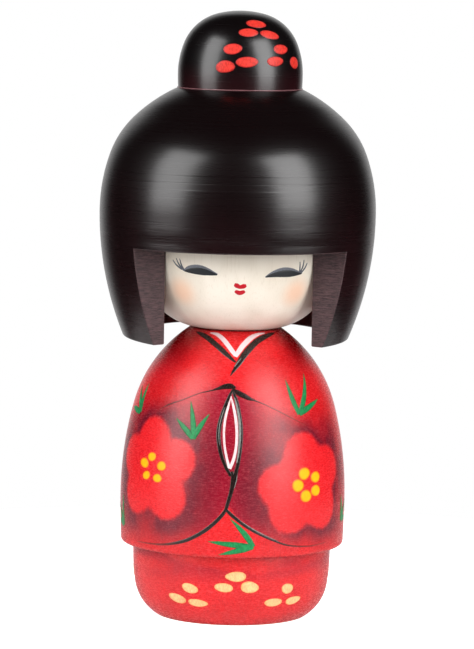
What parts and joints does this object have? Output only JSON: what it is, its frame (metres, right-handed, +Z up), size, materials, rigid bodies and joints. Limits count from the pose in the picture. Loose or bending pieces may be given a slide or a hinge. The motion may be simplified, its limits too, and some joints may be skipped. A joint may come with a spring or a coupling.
{
  "type": "kokeshi doll",
  "caption": "Turned wooden kokeshi doll in a painted kimono, with a bobbed hair cap, a bun and a head that turns on the neck.",
  "frame": {"origin": "middle of the flat face the doll stands on", "axes": "+Z up along the doll, the face looks along -Y, +X to the viewer's right"},
  "size_m": [0.0684, 0.0684, 0.15],
  "materials": {
    "kimono_paint": "red wood stain under satin varnish",
    "pale_wood": "pale wood, satin",
    "bare_wood": "bare beech, matt",
    "black_lacquer": "near-black satin lacquer on wood",
    "brush_paint": "brushed paint lines and dots on wood"
  },
  "bodies": {
    "torso": {"body": "kimono_paint"},
    "head": {"neck_dowel": "bare_wood", "face": "pale_wood", "hair_cap": "black_lacquer", "crown_dowel": "bare_wood", "bun": "black_lacquer"}
  },
  "joints": [
    {"name": "head_turn", "type": "hinge", "parent": "torso", "child": "head", "pos_m": [0, 0, 0.0717], "axis": [0, 0, 1], "continuous": true}
  ]
}
